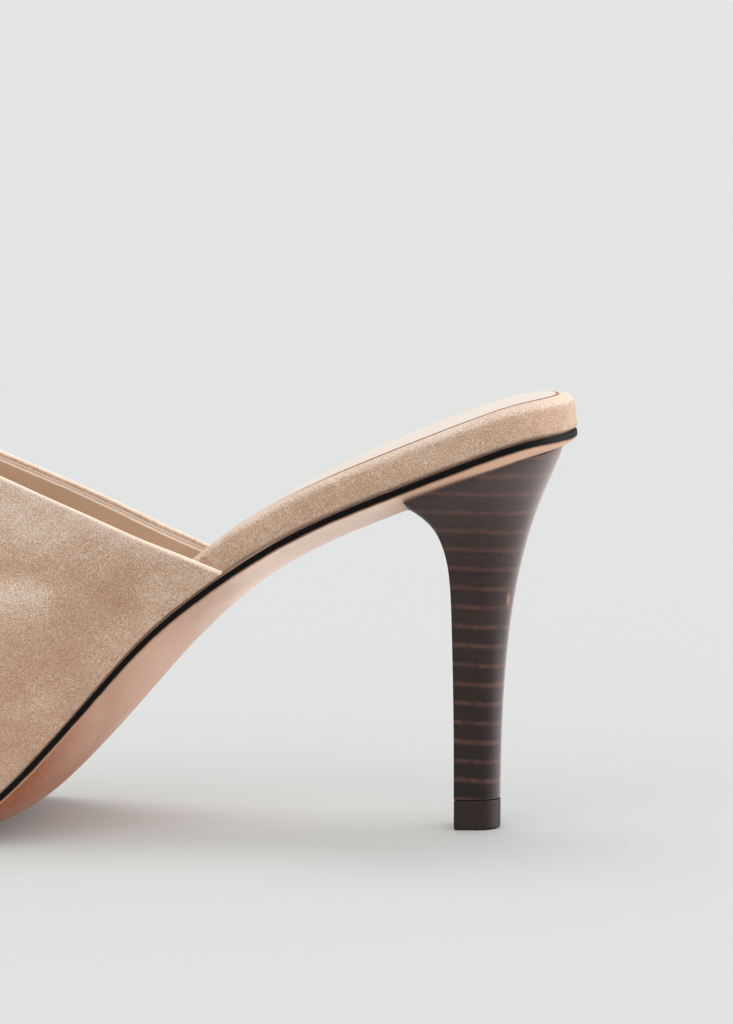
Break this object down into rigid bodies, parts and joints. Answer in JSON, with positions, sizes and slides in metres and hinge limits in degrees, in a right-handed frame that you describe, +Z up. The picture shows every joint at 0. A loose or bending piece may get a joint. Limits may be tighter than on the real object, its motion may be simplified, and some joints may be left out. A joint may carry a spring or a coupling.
{
  "type": "heeled sandal",
  "caption": "Backless open-toe heeled mule for a right foot: one wide suede vamp over a padded footbed, a thin curved leather sole and a slim stacked high heel.",
  "frame": {"origin": "middle of the bounding box's bottom, on the floor under the shoe", "axes": "+X from the toe to the heel, +Y to the outer side of the right foot, +Z up"},
  "size_m": [0.2158, 0.081, 0.095],
  "materials": {
    "sole_leather": "smooth tan leather underside with a painted black edge",
    "footbed_suede": "beige suede wrap with a short nap",
    "sock_leather": "smooth pale cream leather",
    "vamp_suede": "beige suede with a short nap, lined in smooth tan leather",
    "stacked_leather": "dark brown stacked look with thin lighter lines, waxed",
    "top_lift_rubber": "dark brown, satin"
  },
  "bodies": {
    "root": {"outsole": "sole_leather", "footbed": "footbed_suede", "sock": "sock_leather", "upper": "vamp_suede", "heel": "stacked_leather", "top_lift": "top_lift_rubber"}
  },
  "joints": []
}
